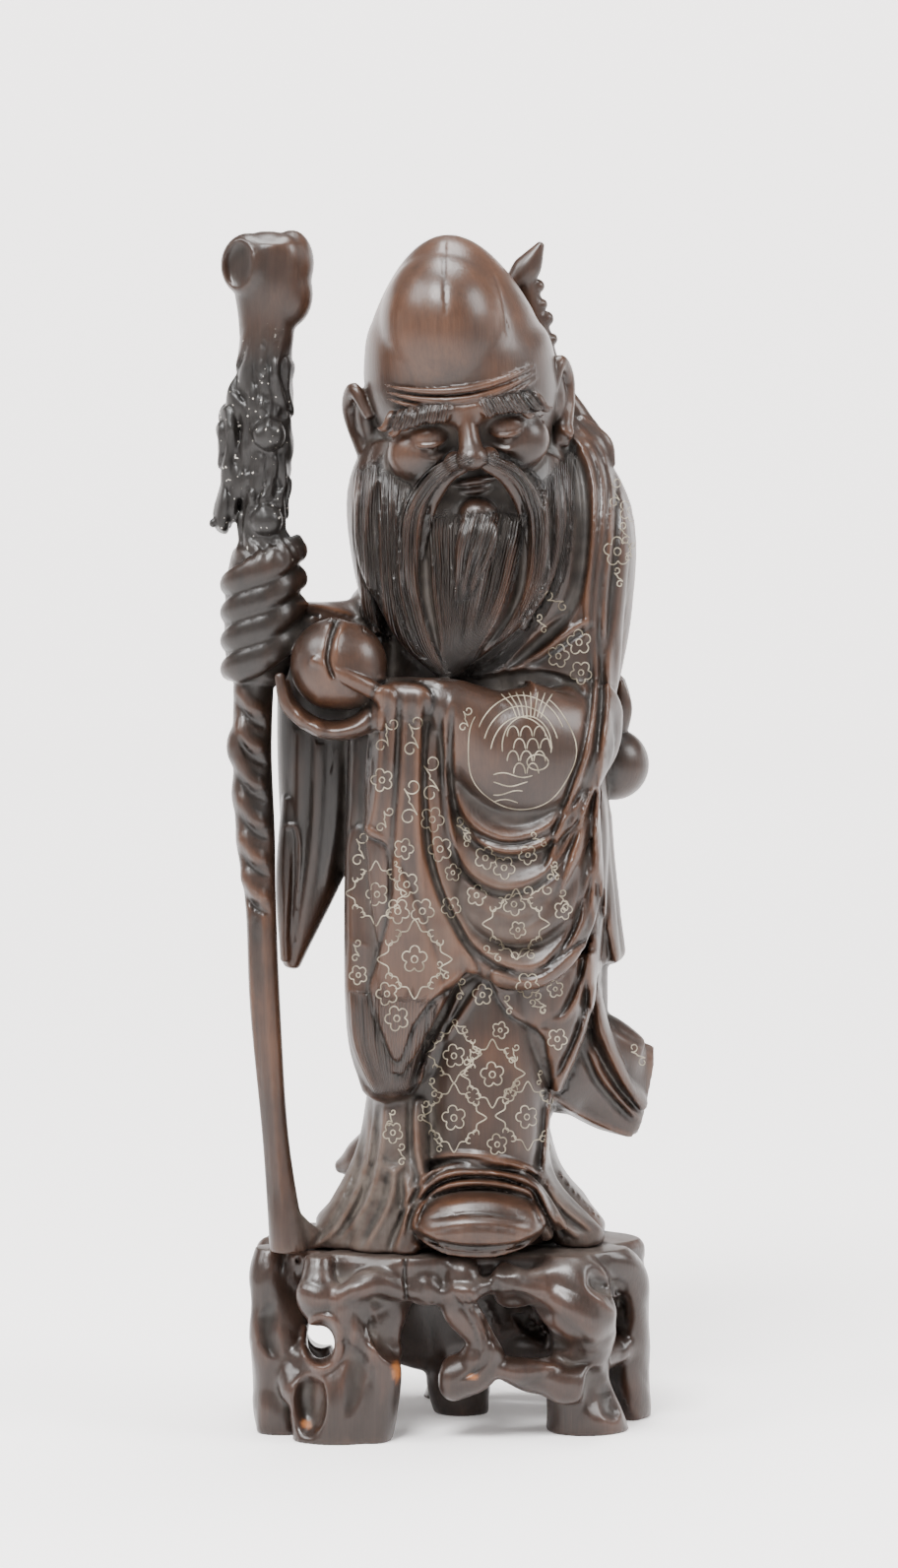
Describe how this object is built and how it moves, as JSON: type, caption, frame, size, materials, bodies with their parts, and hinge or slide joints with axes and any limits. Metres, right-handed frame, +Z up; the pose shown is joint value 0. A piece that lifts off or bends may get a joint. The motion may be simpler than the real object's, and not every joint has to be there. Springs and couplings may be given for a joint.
{
  "type": "shou lao figure",
  "caption": "Standing carved hardwood figure of a bald, bearded elder with a gnarled staff and a peach, robes inlaid with fine silver wire, on a pierced rootwork plinth.",
  "frame": {"origin": "middle of the whole object's footprint box, on the surface it stands on", "axes": "+Z up, the figure faces -Y, its left hand side and the fruit are towards +X"},
  "size_m": [0.176, 0.1161, 0.4747],
  "materials": {
    "polished_hardwood": "dark hardwood, carved, waxed and worn reddish on the high spots",
    "rootwork_hardwood": "dark hardwood, carved as rootwork, waxed, dusty in the hollows",
    "silver_wire": "tarnished silver wire hammered into the wood and rubbed flush"
  },
  "bodies": {
    "root": {"figure": "polished_hardwood", "root_base": "rootwork_hardwood"}
  },
  "joints": []
}
